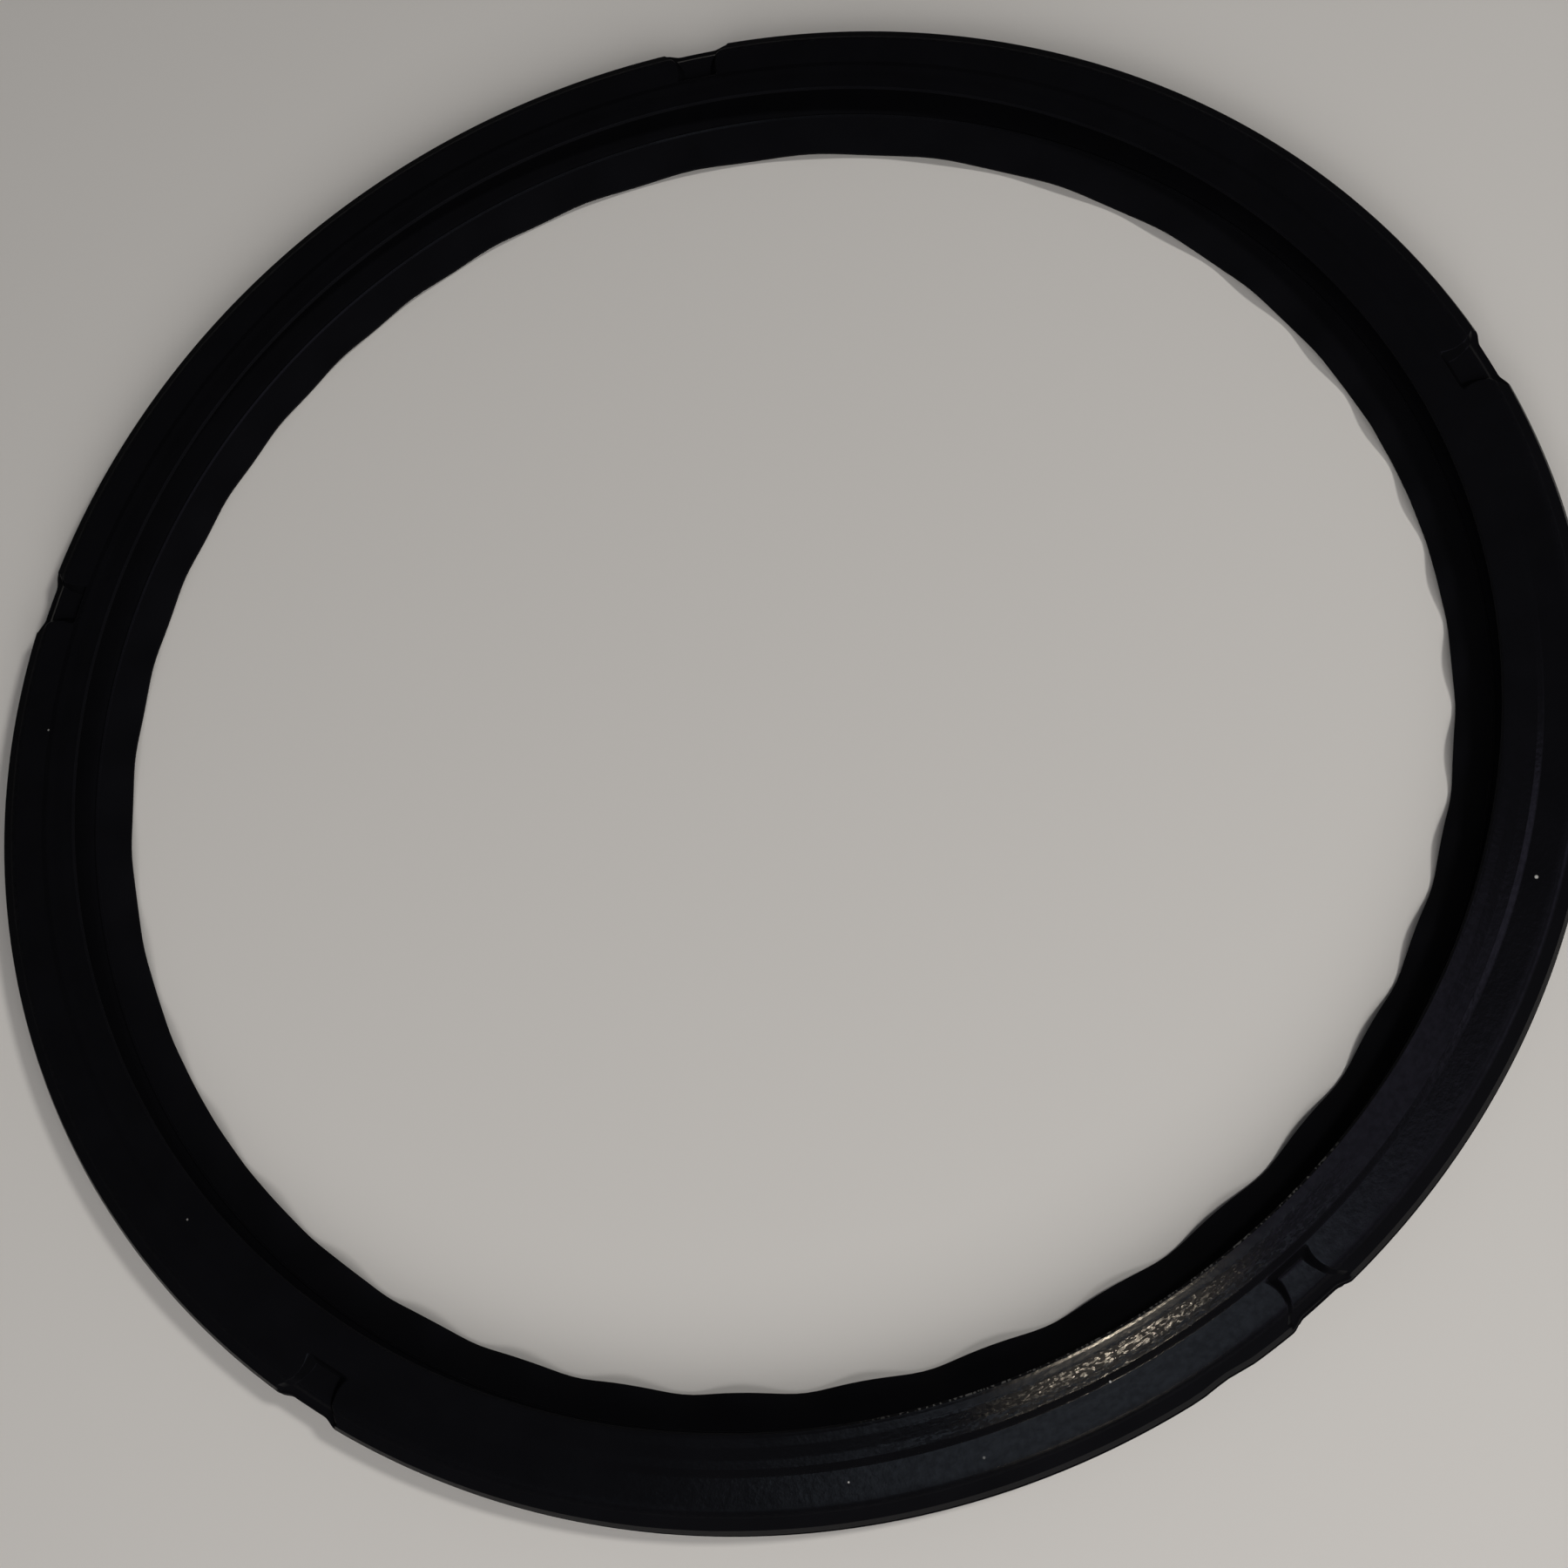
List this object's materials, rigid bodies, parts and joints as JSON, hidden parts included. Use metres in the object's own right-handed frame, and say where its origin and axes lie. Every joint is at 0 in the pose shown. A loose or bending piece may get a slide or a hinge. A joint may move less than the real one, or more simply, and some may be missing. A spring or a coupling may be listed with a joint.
{
  "type": "door gasket",
  "caption": "Flat moulded rubber sealing ring with a C-shaped section, a thin wavy lower lip, and notches with small pockets round its rim.",
  "frame": {"origin": "on the ring's axis, in the plane of the heel's flat underside", "axes": "+Z along the ring's axis, from the heel up to the crest; the first rim notch is on +X"},
  "size_m": [0.24, 0.24, 0.0091],
  "materials": {
    "rubber": "satin moulded"
  },
  "bodies": {
    "root": {"gasket": "rubber"}
  },
  "joints": []
}
